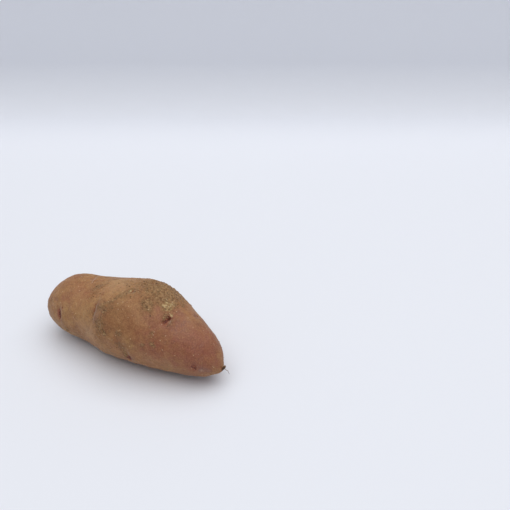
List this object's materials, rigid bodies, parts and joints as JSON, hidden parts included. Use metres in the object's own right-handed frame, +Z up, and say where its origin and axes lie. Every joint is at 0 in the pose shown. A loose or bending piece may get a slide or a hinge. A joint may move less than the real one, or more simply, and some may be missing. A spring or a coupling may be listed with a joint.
{
  "type": "potato",
  "caption": "Long, knobbly salad potato tuber with shallow eyes, a round head end and a tapered heel end with a withered stolon stub, lying on a small flat spot.",
  "frame": {"origin": "on the flat spot the tuber rests on, under its middle", "axes": "+X along the tuber from the round head end to the pointed heel end, +Z up from the surface it lies on"},
  "size_m": [0.1016, 0.0417, 0.039],
  "materials": {
    "skin": null
  },
  "bodies": {
    "root": {"tuber": "skin"}
  },
  "joints": []
}
